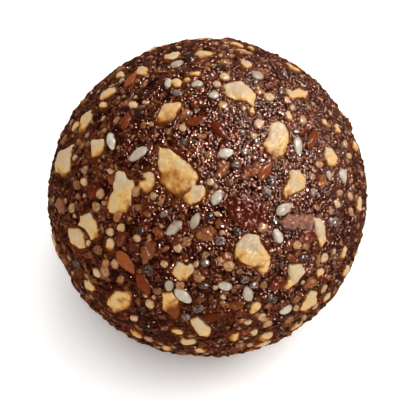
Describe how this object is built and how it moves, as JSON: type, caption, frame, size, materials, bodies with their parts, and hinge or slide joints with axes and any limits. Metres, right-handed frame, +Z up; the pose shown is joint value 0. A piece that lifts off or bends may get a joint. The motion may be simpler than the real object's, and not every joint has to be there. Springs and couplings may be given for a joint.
{
  "type": "chocolate truffle",
  "caption": "Hand-rolled ball of cocoa and date paste packed with chopped nuts and seeds, a sweet that rests on a small flat foot.",
  "frame": {"origin": "middle of the flat foot that the truffle rests on, straight below the middle of its outline", "axes": "+Z up from the foot; the ball is round about Z, and the picture looks at it from -Y and above"},
  "size_m": [0.042, 0.042, 0.041],
  "materials": {
    "cocoa_paste": "dark brown cocoa and date paste, sticky, fine-grained, with a soft gloss",
    "nut": "cream broken nut, golden where the paste has stained it",
    "white_seed": "hulled white sesame, smooth and waxy",
    "brown_seed": "red-brown linseed, smooth and glossy",
    "tan_grain": "small round tan grains, waxy",
    "dark_seed": "dark grey chia, mottled and glossy",
    "dried_fruit": "dark red dried fruit, wrinkled and sticky"
  },
  "bodies": {
    "root": {"truffle_ball": "cocoa_paste"}
  },
  "joints": []
}
